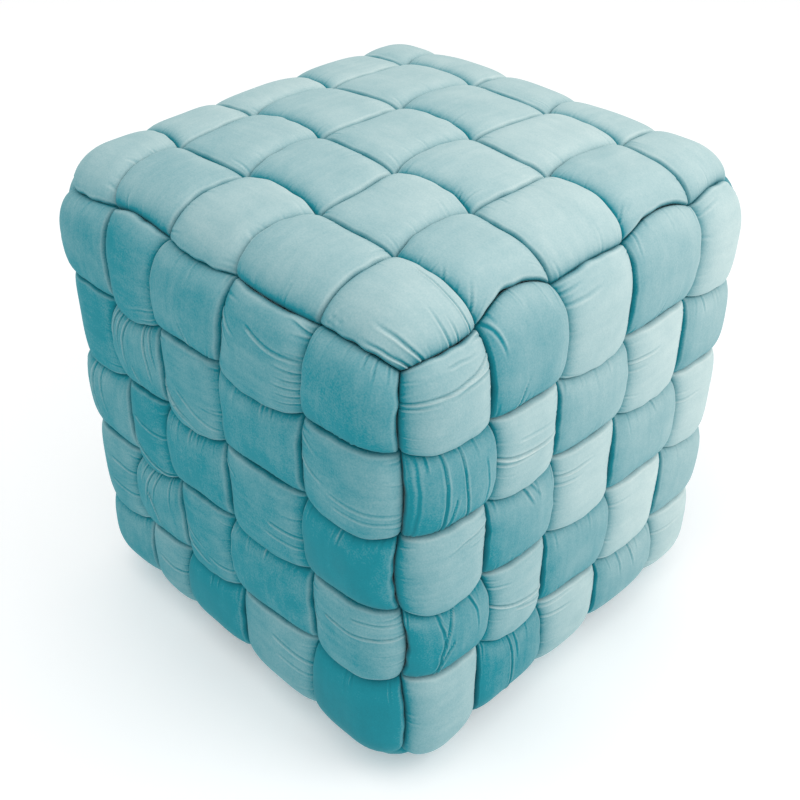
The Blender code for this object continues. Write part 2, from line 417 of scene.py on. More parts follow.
def closeStrap(mesh):
    # The sheet's edges that now lie on each other are joined, and its ends filled
    edgePoints = [vert for vert in mesh.verts if vert.is_boundary]
    bmesh.ops.remove_doubles(mesh, verts=edgePoints, dist=strap["weld"])
    bmesh.ops.holes_fill(mesh, edges=mesh.edges, sides=0)
    bmesh.ops.recalc_face_normals(mesh, faces=mesh.faces)
    if mesh.calc_volume(signed=True) < 0:
        bmesh.ops.reverse_faces(mesh, faces=mesh.faces)


# Creases, placed one by one along the straps as the photo shows them. Steps go along the
# strap and across it, 0 to 1 over one pillow; depth and width are in millimetres.
creaseColumns = ("fromStep", "fromAcross", "toStep", "toAcross", "bow", "depth", "width")
creases = {
    # the corner pillow of the top, drawn together where it goes under
    ("x", 0, 4): (
        (1.0, 0.24, 0.60, 0.20, 0.02, 2.0, 2.2),
        (1.0, 0.10, 0.60, 0.06, 0.02, 1.8, 2.0),
        (1.0, 0.02, 0.85, -0.02, 0.00, 1.6, 1.8),
        (1.0, 0.60, 0.72, 0.56, 0.02, 1.5, 2.2),
        (1.0, 0.70, 0.82, 0.68, 0.00, 1.3, 1.8),
        (1.0, 0.88, 0.35, 0.91, 0.04, 1.5, 1.5),
        (0.15, 0.04, 0.22, 0.16, 0.00, 0.8, 1.4),
        (0.25, 0.03, 0.30, 0.13, 0.00, 0.8, 1.4),
    ),
    ("y", 4, 1): (
        (0.0, 0.60, 0.12, 0.55, 0.00, 1.2, 1.5),
        (0.0, 0.88, 0.16, 0.78, 0.00, 1.5, 1.8),
        (0.0, 0.72, 0.08, 0.70, 0.00, 1.0, 1.5),
    ),
    ("y", 3, 2): ((0.0, 0.80, 0.08, 0.76, 0.00, 1.0, 1.5),),
    ("y", 4, 3): ((0.0, 0.85, 0.12, 0.78, 0.00, 1.2, 1.6),),
    ("y", 1, 0): ((0.0, 0.30, 0.15, 0.25, 0.00, 0.8, 1.8),),
    ("x", 0, 0): ((1.0, 0.45, 0.85, 0.40, 0.00, 0.9, 1.8), (1.0, 0.70, 0.90, 0.66, 0.00, 0.8, 1.6)),
    # the sides right of the upright edge
    ("z", 0, 5): (
        (0.02, 0.33, 0.98, 0.20, 0.04, 1.5, 1.7),
        (1.0, 0.34, 0.42, 0.38, 0.02, 1.7, 2.0),
        (0.02, 0.40, 0.32, 0.38, 0.00, 1.1, 1.8),
        (0.45, 0.12, 0.85, 0.13, 0.00, 0.8, 1.8),
        (1.0, 0.08, 0.78, 0.03, 0.02, 1.4, 1.8),
    ),
    ("z", 0, 7): ((0.0, 0.10, 0.22, 0.08, 0.00, 1.2, 1.8), (0.0, 0.20, 0.45, 0.19, 0.00, 1.2, 2.2)),
    ("z", 0, 9): ((0.0, 0.12, 0.32, 0.10, 0.00, 1.0, 1.8),),
    ("x", 1, 5): (
        (0.02, 0.04, 0.32, 0.14, 0.02, 1.6, 2.2),
        (1.0, 0.30, 0.68, 0.40, 0.02, 1.6, 2.0),
        (1.0, 0.38, 0.85, 0.42, 0.00, 1.0, 1.8),
    ),
    ("x", 3, 5): ((1.0, 0.40, 0.80, 0.46, 0.00, 1.1, 2.0), (1.0, 0.52, 0.90, 0.55, 0.00, 0.9, 1.6)),
    ("z", 1, 6): (
        (0.0, 0.44, 0.98, 0.50, 0.03, 2.2, 2.2),
        (0.0, 0.52, 0.62, 0.54, 0.02, 1.2, 1.8),
        (0.30, 0.30, 0.85, 0.33, 0.00, 0.7, 2.2),
    ),
    ("z", 1, 8): ((0.0, 0.30, 0.42, 0.28, 0.00, 1.7, 2.0), (0.0, 0.42, 0.25, 0.41, 0.00, 0.9, 1.8)),
    ("x", 0, 6): (
        (0.0, 0.32, 1.0, 0.33, 0.00, 1.7, 1.7),
        (0.0, 0.51, 0.95, 0.62, -0.04, 1.6, 1.7),
        (0.60, 0.42, 1.0, 0.38, 0.00, 1.2, 1.7),
        (0.0, 0.19, 0.16, 0.18, 0.00, 1.2, 1.6),
        (0.30, 0.80, 0.95, 0.84, 0.02, 0.6, 2.0),
        (0.02, 0.10, 1.0, 0.08, 0.01, 0.5, 2.4),
    ),
    ("x", 2, 6): ((1.0, 0.45, 0.88, 0.48, 0.00, 0.9, 1.8),),
    ("x", 4, 6): ((0.0, 0.25, 0.20, 0.27, 0.00, 1.1, 1.8), (0.0, 0.45, 0.14, 0.45, 0.00, 0.8, 1.6)),
    ("z", 2, 5): (
        (1.0, 0.18, 0.40, 0.26, 0.02, 1.5, 1.8),
        (1.0, 0.30, 0.68, 0.30, 0.00, 1.2, 1.6),
        (1.0, 0.42, 0.85, 0.41, 0.00, 0.8, 1.6),
    ),
    ("z", 2, 7): ((0.0, 0.22, 0.52, 0.20, 0.00, 1.8, 1.8), (0.0, 0.32, 0.34, 0.31, 0.00, 1.3, 1.8)),
    ("z", 2, 9): ((0.0, 0.35, 0.40, 0.33, 0.00, 1.2, 1.8),),
    ("x", 1, 7): (
        (0.0, 0.48, 0.24, 0.60, 0.00, 1.8, 2.2),
        (0.0, 0.58, 0.18, 0.70, 0.00, 1.3, 2.0),
        (1.0, 0.50, 0.84, 0.56, 0.00, 1.6, 2.0),
        (1.0, 0.40, 0.92, 0.42, 0.00, 1.0, 1.6),
    ),
    ("x", 3, 7): ((0.0, 0.55, 0.16, 0.60, 0.00, 1.2, 1.8), (1.0, 0.50, 0.90, 0.52, 0.00, 0.9, 1.6)),
    ("z", 3, 6): (
        (0.0, 0.43, 0.98, 0.60, 0.02, 2.0, 2.0),
        (0.45, 0.60, 1.0, 0.76, 0.00, 1.2, 1.8),
        (0.0, 0.18, 0.30, 0.20, 0.00, 0.9, 1.8),
    ),
    ("z", 3, 8): ((0.0, 0.20, 0.30, 0.20, 0.00, 0.9, 1.8),),
    ("x", 0, 8): (
        (0.0, 0.50, 1.0, 0.32, -0.10, 1.7, 1.7),
        (0.0, 0.32, 0.48, 0.31, 0.00, 1.8, 1.8),
        (0.50, 0.40, 1.0, 0.27, -0.03, 1.4, 1.7),
        (0.0, 0.72, 0.55, 0.76, 0.02, 1.0, 2.0),
    ),
    ("x", 2, 8): ((0.0, 0.42, 0.12, 0.45, 0.00, 0.9, 1.8), (1.0, 0.35, 0.90, 0.38, 0.00, 0.8, 1.6)),
    ("x", 1, 9): ((0.0, 0.42, 0.95, 0.45, 0.05, 1.7, 1.7), (0.0, 0.52, 0.34, 0.56, 0.00, 1.4, 1.8)),
    ("x", 3, 9): ((0.0, 0.32, 0.34, 0.36, 0.00, 1.3, 1.8), (0.0, 0.52, 0.36, 0.58, 0.00, 1.5, 1.8)),
    ("z", 4, 7): ((0.03, 0.18, 0.42, 0.20, 0.00, 1.6, 1.8), (0.0, 0.06, 0.50, 0.04, 0.00, 1.0, 1.6)),
    ("z", 4, 9): ((0.0, 0.25, 0.50, 0.22, 0.00, 1.2, 1.8),),
    # the sides left of the upright edge
    ("y", 4, -1): (
        (0.0, 0.50, 0.08, 0.50, 0.00, 1.6, 1.5),
        (0.0, 0.62, 0.08, 0.62, 0.00, 1.6, 1.5),
        (0.98, 0.68, 0.84, 0.70, 0.00, 1.2, 1.5),
        (0.98, 0.78, 0.80, 0.80, 0.00, 1.4, 1.5),
        (0.98, 0.90, 0.84, 0.92, 0.00, 1.0, 1.5),
    ),
    ("z", 0, 1): ((1.0, 0.80, 0.55, 0.84, 0.02, 0.9, 2.0), (1.0, 0.92, 0.70, 0.93, 0.00, 1.1, 1.6)),
    ("z", 0, 3): (
        (0.0, 0.22, 0.24, 0.38, 0.02, 1.6, 2.4),
        (0.0, 0.34, 0.20, 0.52, 0.00, 1.1, 2.2),
        (0.42, 0.24, 0.95, 0.34, 0.02, 1.3, 1.8),
        (1.0, 0.10, 0.78, 0.04, 0.00, 1.4, 1.8),
        (1.0, 0.47, 0.72, 0.43, 0.00, 1.3, 1.8),
        (1.0, 0.56, 0.75, 0.54, 0.00, 1.2, 1.6),
        (1.0, 0.65, 0.70, 0.63, 0.00, 1.3, 1.6),
        (1.0, 0.74, 0.76, 0.73, 0.00, 1.2, 1.6),
        (1.0, 0.83, 0.72, 0.83, 0.00, 1.1, 1.6),
    ),
    ("y", 0, -1): ((0.42, 0.20, 0.08, 0.32, 0.02, 1.4, 2.2), (0.30, 0.10, 0.06, 0.18, 0.00, 1.0, 1.8)),
    ("y", 2, -1): ((0.0, 0.60, 0.34, 0.48, 0.02, 1.5, 2.0), (0.0, 0.68, 0.22, 0.62, 0.00, 1.0, 1.8)),
    ("y", 1, -2): (
        (1.0, 0.16, 0.55, 0.10, 0.03, 1.8, 2.0),
        (1.0, 0.27, 0.50, 0.20, 0.03, 1.6, 2.0),
        (1.0, 0.42, 0.30, 0.32, 0.05, 1.8, 2.2),
        (1.0, 0.76, 0.30, 0.84, 0.02, 2.0, 2.0),
        (1.0, 0.86, 0.50, 0.93, 0.00, 1.6, 1.7),
        (0.35, 0.45, 0.08, 0.62, 0.02, 1.1, 2.2),
    ),
    ("y", 3, -2): ((1.0, 0.60, 0.86, 0.60, 0.00, 1.6, 1.6), (1.0, 0.70, 0.88, 0.71, 0.00, 1.5, 1.6)),
    ("z", 1, 2): (
        (0.0, 0.52, 0.58, 0.86, 0.06, 2.2, 2.2),
        (0.02, 0.70, 0.75, 0.92, 0.03, 1.3, 1.8),
        (0.35, 0.55, 0.95, 0.80, 0.02, 0.9, 2.0),
        (1.0, 0.60, 0.70, 0.58, 0.00, 0.8, 1.8),
    ),
    ("z", 1, 4): (
        (0.0, 0.34, 0.34, 0.52, 0.02, 1.5, 2.2),
        (0.0, 0.10, 0.24, 0.22, 0.00, 1.3, 2.0),
        (0.45, 0.60, 0.95, 0.66, 0.00, 0.8, 2.2),
        (0.50, 0.72, 0.98, 0.76, 0.00, 0.7, 2.0),
    ),
    ("y", 0, -3): (
        (1.0, 0.42, 0.10, 0.52, 0.05, 1.8, 2.0),
        (1.0, 0.54, 0.40, 0.62, 0.02, 1.4, 1.8),
        (1.0, 0.20, 0.70, 0.16, 0.00, 1.2, 1.8),
    ),
    ("y", 2, -3): ((1.0, 0.48, 0.82, 0.49, 0.00, 1.7, 1.7), (1.0, 0.60, 0.86, 0.61, 0.00, 1.6, 1.7)),
    ("y", 4, -3): ((1.0, 0.55, 0.78, 0.53, 0.00, 1.8, 1.7), (1.0, 0.66, 0.90, 0.66, 0.00, 0.9, 1.5)),
    ("z", 2, 1): (
        (0.0, 0.58, 0.98, 0.96, 0.05, 1.9, 2.2),
        (0.25, 0.34, 0.98, 0.44, 0.02, 1.1, 2.0),
        (0.0, 0.30, 0.20, 0.40, 0.00, 1.0, 2.0),
    ),
    ("z", 2, 3): (
        (0.65, 0.50, 1.0, 0.56, 0.00, 1.2, 2.0),
        (0.60, 0.64, 1.0, 0.70, 0.00, 0.9, 2.0),
        (0.0, 0.12, 0.20, 0.24, 0.00, 1.2, 2.2),
    ),
    ("y", 1, -4): (
        (1.0, 0.44, 0.45, 0.28, 0.03, 1.9, 2.2),
        (0.62, 0.36, 0.08, 0.52, -0.03, 1.8, 2.0),
        (1.0, 0.60, 0.55, 0.44, 0.02, 1.5, 2.0),
        (1.0, 0.84, 0.55, 0.80, 0.00, 1.2, 1.8),
        (1.0, 0.24, 0.72, 0.18, 0.00, 1.3, 1.8),
    ),
    ("y", 3, -4): ((1.0, 0.50, 0.90, 0.50, 0.00, 1.5, 1.7),),
    ("z", 3, 0): ((0.55, 0.30, 1.0, 0.36, 0.00, 1.2, 2.0), (0.50, 0.60, 1.0, 0.68, 0.00, 1.0, 2.0)),
    ("z", 3, 2): (
        (0.0, 0.52, 0.60, 0.80, 0.05, 2.0, 2.2),
        (0.0, 0.36, 0.50, 0.62, 0.04, 1.5, 2.0),
        (0.60, 0.70, 1.0, 0.78, 0.00, 1.0, 2.0),
    ),
    ("z", 3, 4): (
        (0.28, 0.32, 0.98, 0.30, 0.03, 1.5, 1.8),
        (0.0, 0.32, 0.20, 0.56, 0.02, 1.5, 2.0),
        (0.0, 0.20, 0.16, 0.36, 0.00, 1.1, 1.8),
        (0.60, 0.16, 0.98, 0.14, 0.00, 0.9, 1.6),
    ),
    ("y", 2, -5): ((1.0, 0.50, 0.80, 0.52, 0.00, 1.3, 1.8), (1.0, 0.62, 0.84, 0.63, 0.00, 1.1, 1.6)),
    ("y", 4, -5): ((1.0, 0.55, 0.86, 0.56, 0.00, 1.2, 1.6),),
    ("z", 4, 3): ((0.55, 0.22, 1.0, 0.30, 0.00, 1.4, 2.0), (0.60, 0.40, 1.0, 0.46, 0.00, 0.9, 1.8)),
    ("z", 4, 1): ((0.40, 0.30, 1.0, 0.36, 0.02, 1.2, 2.0),),
}
crease = {
    "sharpness": 0.54,  # share of the widths above
    "strength": 0.90,   # share of the depths above
    "ridge": 0.65,      # height of the ridge beside a crease, as a share of its depth
    "farRidge": 0.25,   # the same on its other side
    "ridgeStep": 1.7,   # how far off the ridges stand, in crease widths
    "looseEnd": 0.25,   # how much of its depth a crease keeps where it runs out
    "looseFrom": 0.06,  # a crease that ends nearer to a tucked end is not loose
    "fade": 1.5,        # how far it runs out, in crease widths
    "sideFade": 0.05,   # how near to a pillow's side creases fade out, in pillow widths
    "deepest": 0.0026,  # metres
    "highest": 0.0013,
    "gathers": 5,       # small gathers at each tucked end of a pillow
    "gatherDepth": 0.7,
    "gatherWidth": 1.5,
    # least and most that a gather takes
    "gatherSpots": (0.2, 0.8),    # place in its fifth of the strap
    "gatherReach": (0.06, 0.24),  # length, in pillows
    "gatherLean": (-0.04, 0.04),
    "gatherDepths": (0.3, 1.2),   # shares of the depth and the width above
    "gatherWidths": (0.8, 1.4),
    "topShare": 0.75,   # how strong the gathers are on the smooth top
}


def creaseRows(family, lane, cell):
    # The hidden sides are creased as the shown sides are, and small gathers are added
    home, turned = cell, False
    if family == "z":
        home = cell % (2 * pillows)
    elif family == "x" and cell < 0 or family == "y" and cell >= pillows:
        home, turned = pillows - 1 - cell, True
    rows = []
    for row in creases.get((family, lane, home), ()):
        spot = dict(zip(creaseColumns, row))
        if turned:
            spot["fromStep"] = 1.0 - spot["fromStep"]
            spot["toStep"] = 1.0 - spot["toStep"]
            spot["bow"] = -spot["bow"]
        rows.append(spot)
    chance = chanceFor("crease", family, lane, cell)
    share = crease["topShare"] if onTop(family, cell) else 1.0
    for end in (0.0, 1.0):
        for number in range(crease["gathers"]):
            start = (number + chance.uniform(*crease["gatherSpots"])) / crease["gathers"]
            reach = chance.uniform(*crease["gatherReach"])
            lean = chance.uniform(*crease["gatherLean"])
            rows.append({
                "fromStep": end,
                "fromAcross": start,
                "toStep": abs(end - reach),
                "toAcross": start + lean,
                "bow": 0.0,
                "depth": share * crease["gatherDepth"] * chance.uniform(*crease["gatherDepths"]),
                "width": crease["gatherWidth"] * chance.uniform(*crease["gatherWidths"]),
            })
    return rows


def creaseRelief(step, across, rows):
    # Height that the creases add, in metres: soft troughs with a ridge on each side
    relief = np.zeros(len(step))
    for row in rows:
        runStep = row["toStep"] - row["fromStep"]
        runAcross = row["toAcross"] - row["fromAcross"]
        length = math.hypot(runStep, runAcross)
        pastStep = step - row["fromStep"]
        pastAcross = across - row["fromAcross"]
        part = (pastStep * runStep + pastAcross * runAcross) / length ** 2
        inside = np.clip(part, 0.0, 1.0)
        aside = (pastAcross * runStep - pastStep * runAcross) / length - row["bow"] * bowed(inside)
        width = crease["sharpness"] * row["width"] / perMetre / pillowSize
        beyond = np.abs(part - inside) * length / width
        isLoose = crease["looseFrom"] < row["toStep"] < 1.0 - crease["looseFrom"]
        strength = 1.0 - (1.0 - crease["looseEnd"]) * inside ** 2 if isLoose else 1.0
        strength = strength * np.exp(-(beyond / crease["fade"]) ** 2)
        off = aside / width
        fold = crease["ridge"] * np.exp(-(off - crease["ridgeStep"]) ** 2)
        fold += crease["farRidge"] * np.exp(-(off + crease["ridgeStep"]) ** 2)
        relief += crease["strength"] * row["depth"] / perMetre * strength * (fold - np.exp(-off ** 2))
    return np.clip(relief, -crease["deepest"], crease["highest"])


def dented(places):
    # Soft unevenness of the filling
    turns = places * strap["dentTurns"]
    swell = np.zeros(len(places))
    for strength, first, second, start in dentWaves:
        swell += strength * np.sin(turns @ first) * np.sin(turns @ second + start)
    return strap["dent"] * swell


def rimWaves(step, chance):
    # Small uneven waves along a pillow's side, none at its ends
    waves = np.zeros(len(step))
    for count in strap["waveCounts"]:
        start = chance.uniform(0.0, wholeTurn)
        waves += np.sin(math.pi * count * step + start) * chance.uniform(*strap["waveShares"])
    return strap["rimWave"] * waves * np.sqrt(bowed(step))


def pillowPlaces(family, lane, cell, step, across):
    # Where a point of a pillow that shows lies, between its four bowed seams
    laneRow = np.full(len(cell), float(lane))
    before = seamBulge(strapPlaces(family, cell + 0.0, laneRow + 0.5))
    after = seamBulge(strapPlaces(family, cell + 1.0, laneRow + 0.5))
    left = seamBulge(strapPlaces(family, cell + 0.5, laneRow))
    right = seamBulge(strapPlaces(family, cell + 0.5, laneRow + 1.0))
    along = step + bowed(across) * (before * (1.0 - step) - after * step)
    sideways = across + bowed(step) * (right * across - left * (1.0 - across))
    return along, sideways


def dipAt(family, lane, cell, along, sideways):
    # Share of the tuck and the roll: less on the top, where the seams are tight
    run, side = cell + along, lane + sideways
    inside = np.stack((run, side, pillows - run, pillows - side)).min(axis=0)
    tight = np.where(onTop(family, cell), np.clip(inside / strap["tightReach"], 0.0, 1.0), 0.0)
    return 1.0 - strap["topTight"] * tight


def pillowHeight(step, across, fullness, dip):
    # Height of a pillow's outside: it arches along the strap and rounds off across it
    pit, arch = strap["pit"], strap["arch"]
    crown = (strap["crown"] - pit - arch) * fullness
    opened = rounded(step, "open")
    height = pit + arch * rounded(step, "arch") + opened * crown * rounded(across, "rim")
    return height + (1.0 - opened) * (arch * rounded(across, "arch") - dip * strap["tuck"])


def laidPoints(family, lane, cell, along, sideways, height):
    # A place past the end of its cell belongs to the face of its cell
    axis, end = faceAxis(family, cell)
    places = strapPlaces(family, cell + along, lane + sideways)
    return onCube(wrapped(places, axis, end), height)


def foldedPillows(family, lane, cell, step, across, shows):
    # Crease height of every point, and how far its side waves, pillow by pillow
    relief = np.zeros(len(step))
    waves = np.zeros(len(step))
    for one in np.unique(cell[shows]):
        here = shows & (cell == one)
        relief[here] = creaseRelief(step[here], across[here], creaseRows(family, lane, int(one)))
        first = rimWaves(step[here], chanceFor("firstSide", family, lane, int(one)))
        last = rimWaves(step[here], chanceFor("lastSide", family, lane, int(one)))
        waves[here] = last * across[here] ** 2 - first * (1.0 - across[here]) ** 2
    edge = np.clip(np.minimum(across, 1.0 - across) / crease["sideFade"], 0.0, 1.0)
    return relief * edge, waves


# Nap and painted light: how pale the pile is painted on the faces across X, across Y and on top, at the
# middle of the pouf, and how that changes for each metre along X, Y and Z. The top is painted palest
# and the faces across Y darkest, as light falls from above and the right, and the rise toward +Y is
# painted light from the lamp's side; the difference between the families is the pile's nap.
napAndLightFaces = {
    "x": ((0.35, 0.00, 1.15, 0.50), (0.08, -0.25, 0.00, 0.15), (0.67, 0.30, 0.35, 0.00)),
    "y": ((0.35, 0.00, 1.15, 0.50), (0.06, -0.25, 0.00, 0.10), (0.63, 0.00, 0.55, 0.00)),
    "z": ((0.66, 0.00, 1.20, 0.10), (0.10, 0.20, 0.00, 0.00), (0.56, 0.10, 0.50, 0.00)),
}
# Painted light and shade, carried in the nap value beside the pile's own nap and tone
napAndPaintedLight = {
    "turn": (0.22, 0.38, 0.26),  # painted light and shade: paler where a pillow's surface leans this way, toward the light, darker where it leans away
    "turnShadeRange": (-0.40, 0.07),
    "fold": 0.15,                # painted shade: darker for each millimetre of crease depth
    "creaseShadeDeepest": 0.9,          # millimetres down from which a crease gets no darker
    "ridge": 0.28,               # painted highlight: paler for each millimetre of a crease's ridge
    "rim": 0.11,                 # painted sheen highlight along the sides of the pillows
    "rimHighlightPlace": 0.0021,          # how far in from the side
    "rimHighlightWidth": 0.0011,
    "end": 0.17,                 # painted shade: darker at the tucked ends
    "endShadeWidth": 0.0050,
    "seam": 0.30,                # painted shade: darkest, down in the seams
    "seamShadeWidth": 0.0008,
    "vary": 0.02,                # how much pillows differ
    "facePower": 4,              # how soon the faces' shares change over at an edge
    "range": (-0.60, 1.20),
}
# Pillows painted paler or darker than their neighbours: some as random tone of the pile, some as
# painted sheen (pillows at the far edges of the top) and some as painted shade (near the bottom of the
# front upright edge)
toneAndLightShifts = {
    ("z", 0, 1): -0.04,
    ("z", 1, 0): -0.06,
    ("z", 2, 1): -0.10,
    ("z", 3, 0): 0.05,
    ("z", 3, 2): -0.04,
    ("z", 4, 1): 0.07,
    ("z", 4, 3): 0.05,
    ("z", 2, 5): -0.05,
    ("z", 1, 6): 0.05,
    ("z", 3, 6): -0.08,
    ("x", 0, 6): -0.06,
    ("x", 0, 8): -0.03,
    ("x", 1, 9): -0.07,
    ("x", 4, 6): -0.06,
    ("x", 4, 8): 0.06,
    ("y", 4, -5): -0.12,
    ("y", 2, -5): -0.09,
    ("y", 4, -3): -0.09,
    ("y", 0, 1): 0.10,
    ("x", 0, 0): 0.05,
    ("x", 2, 0): 0.12,
    ("x", 0, 2): 0.04,
}


def placed(table, family, lane, cell, values):
    # The values with those of the table in place at its pillows
    for (tableFamily, tableLane, tableCell), value in table.items():
        if (tableFamily, tableLane) == (family, lane):
            values = np.where(cell == tableCell, value, values)
    return values


def near(gap, width):
    return np.exp(-(gap / width) ** 2)


def pillowNapAndShade(family, lane, cell, endGap):
    # How much paler or darker a pillow is painted than its face, with painted shade where its ends are
    # tucked in and down in the seams
    drawn = chanceFor("napAndPaintedLight", family, lane).normal(0.0, napAndPaintedLight["vary"], drawnCells)
    shifts = placed(toneAndLightShifts, family, lane, cell, drawn[cell % drawnCells])
    shifts = shifts - napAndPaintedLight["end"] * near(endGap, napAndPaintedLight["endShadeWidth"])
    return shifts - napAndPaintedLight["seam"] * near(endGap, napAndPaintedLight["seamShadeWidth"])


def strapSurface(family, lane, cell, step, shows, corner):
    # Where the points of a strap lie, their places in their pillow and their nap value, which holds
    # painted shade in creases, seams and tucked ends and painted highlights on ridges and rims
    outer = strap["outerPoints"]
    inner = strap["innerPoints"]
    isOuter = corner < outer
    acrossOuter = blended(outer)[np.minimum(corner, outer - 1)]
    acrossInner = 1.0 - (np.maximum(corner - outer, 0) + 0.5) / inner
    across = np.where(isOuter, acrossOuter, acrossInner)
    along, sideways = pillowPlaces(family, lane, cell, step, across)
    relief, waves = foldedPillows(family, lane, cell, step, across, shows)
    along = np.where(shows, along, step)
    inset = strap["hiddenInset"]
    sideways = np.where(shows, sideways + waves, inset + (1.0 - 2.0 * inset) * across)
    drawn = chanceFor("fullness", family, lane).standard_normal(drawnCells)
    fullness = 1.0 + strap["crownVary"] * np.clip(drawn, *strap["crownSpread"])[cell % drawnCells]
    fullness = fullness * np.where(onTop(family, cell), strap["topFullness"], 1.0)
    fullness = placed(setFullness, family, lane, cell, fullness)
    swell = dented(strapPlaces(family, cell + along, lane + sideways)) * rounded(across, "rim")
    sideGap = np.minimum(across, 1.0 - across) * pillowSize
    dip = dipAt(family, lane, cell, along, sideways)
    top = pillowHeight(step, across, fullness, dip) + relief + swell
    top -= dip * strap["roll"] * np.clip(1.0 - sideGap / strap["rollWidth"], 0.0, 1.0) ** 2
    pit, arch = strap["pit"], strap["arch"]
    archAlong, archAcross = arch * rounded(step, "arch"), arch * rounded(across, "arch")
    bottom = pit + archAlong - strap["innerArch"] * archAcross - strap["innerGap"]
    hiddenTop = pit + archAcross - archAlong - dip * strap["tuck"] - strap["underside"]
    hiddenHeight = np.where(isOuter, hiddenTop, strap["floorDepth"])
    height = np.where(shows, np.where(isOuter, top, bottom), hiddenHeight)
    # Painted light and shade: darker in creases, paler on their ridges and just inside the pillows'
    # sides, darkest in the seams
    fold = relief * perMetre
    napAndShade = napAndPaintedLight["fold"] * np.clip(fold, -napAndPaintedLight["creaseShadeDeepest"], 0.0)
    napAndShade += napAndPaintedLight["ridge"] * np.maximum(fold, 0.0)
    napAndShade -= napAndPaintedLight["seam"] * near(sideGap, napAndPaintedLight["seamShadeWidth"])
    napAndShade += napAndPaintedLight["rim"] * near(sideGap - napAndPaintedLight["rimHighlightPlace"], napAndPaintedLight["rimHighlightWidth"])
    endGap = np.minimum(step, 1.0 - step) * pillowSize
    napAndShade = np.where(isOuter, napAndShade, 0.0) + pillowNapAndShade(family, lane, cell, endGap)
    # hidden parts take the painted seam shade
    napAndShade = np.where(shows, napAndShade, -napAndPaintedLight["seam"])
    return laidPoints(family, lane, cell, along, sideways, height), along, sideways, napAndShade


def addPiece(name, mesh):
    # The object of a finished mesh, smooth all over
    for face in mesh.faces:
        face.smooth = True
    data = bpy.data.meshes.new(name)
    mesh.to_mesh(data)
    mesh.free()
    piece = bpy.data.objects.new(name, data)
    bpy.context.scene.collection.objects.link(piece)
    return piece


def addStrap(name, family, lane, firstCell, lastCell):
    cells, steps, shows = strapStations(family, lane, firstCell, lastCell)
    mesh, station, corner = strapForm(len(cells), family == "z")
    points, along, sideways, napAndShade = strapSurface(
        family, lane, cells[station], steps[station], shows[station], corner)
    layPlaces = np.stack((cells[station] + along, lane + sideways, np.zeros(len(along))), axis=1)
    lay = mesh.verts.layers.float_vector.new("lay")
    pale = mesh.verts.layers.float.new("napAndPaintedLight")
    for vert, point, place, value in zip(mesh.verts, points, layPlaces * pillowSize, napAndShade):
        vert.co = point
        vert[lay] = place
        vert[pale] = value
    closeStrap(mesh)
    return addPiece(name, mesh)


# Velvet. Its colour is painted paler toward the top and the right side and darker on the faces across
# Y, as light and shade would fall there; the pile's nap makes the level bands paler than the straps
# that cross them.
velvet = {
    "dye": (0.012, 0.245, 0.302, 1.0),   # where the pile shows its full colour
    "pale": (0.600, 0.725, 0.714, 1.0),  # the pale end: the pile's paler nap tone, and painted light and sheen
    "deep": (0.008, 0.120, 0.155, 1.0),  # painted shade colour, down in the seams
    "roughness": 0.88,
    "specular": 0.10,
    "sheen": 0.18,
    "sheenRoughness": 0.35,
    "sheenTint": (0.65, 0.93, 0.94, 1.0),
    "fleck": 0.25,                       # how much single tufts differ
    "mottle": 0.36,                      # how much patches differ
    "cloud": {"Scale": 26.0, "Detail": 5.0, "Roughness": 0.7},
    "streak": {"Scale": 1.0, "Detail": 2.0},
    "streakStretch": (25.0, 160.0, 1.0),
    "streakShare": 0.4,
    "patchMiddle": 0.7,                  # where patches are neither paler nor darker
    "tufts": {"Scale": 750.0, "Detail": 2.0},
    "tuftMiddle": 0.5,
    "seamShadeRate": -1.7,                      # how soon a nap value below 0 takes the painted seam shade colour
    "bump": 0.6,
    "pileHeight": 0.00026,
}


def addNapAndLight(piece, family):
    # Painted light and shade: paleness from the way the surface faces and where it is, added to the nap
    # value of its folds
    data = piece.data
    count = len(data.vertices)
    normals = np.empty(count * 3, dtype=np.float32)
    places = np.empty(count * 3, dtype=np.float32)
    pale = np.empty(count, dtype=np.float32)
    data.vertex_normals.foreach_get("vector", normals)
    data.vertices.foreach_get("co", places)
    data.attributes["napAndPaintedLight"].data.foreach_get("value", pale)
    normals = normals.reshape(-1, 3)
    places = places.reshape(-1, 3) - np.array((0.0, 0.0, middleZ))
    faces = np.array(napAndLightFaces[family])
    outward = places - np.clip(places, coreLow, coreHigh)
    outward = outward / np.linalg.norm(outward, axis=1)[:, None]
    share = outward ** napAndPaintedLight["facePower"]
    share = share / share.sum(axis=1)[:, None]
    share[:, 2] = np.where(outward[:, 2] > 0.0, share[:, 2], 0.0)
    # painted light: each face's paleness, palest on top and rising toward +Y
    pale += (share * (faces[:, 0] + places @ faces[:, 1:].T)).sum(axis=1)
    # painted form shading: paler where the surface leans from its face toward the light, darker where
    # it leans away
    pale += np.clip((normals - outward) @ np.array(napAndPaintedLight["turn"]), *napAndPaintedLight["turnShadeRange"])
    data.attributes["napAndPaintedLight"].data.foreach_set("value", np.clip(pale, *napAndPaintedLight["range"]).astype(np.float32))


def addNode(tree, kind, place, inputs=(), **values):
    node = tree.nodes.new(kind)
    node.location = place
    for name, value in values.items():
        setattr(node, name, value)
    for name, value in dict(inputs).items():
        node.inputs[name].default_value = value
    return node


def addSum(tree, operation, place, second=None):
    # A math node, with the value of its second input if nothing is wired to it
    inputs = () if second is None else {1: second}
    return addNode(tree, "ShaderNodeMath", place, inputs, operation=operation)


def wire(tree, rows):
    # Each row: a node and its output, the node that takes it and that node's input
    for source, output, target, socket in rows:
        tree.links.new(source.outputs[output], target.inputs[socket])


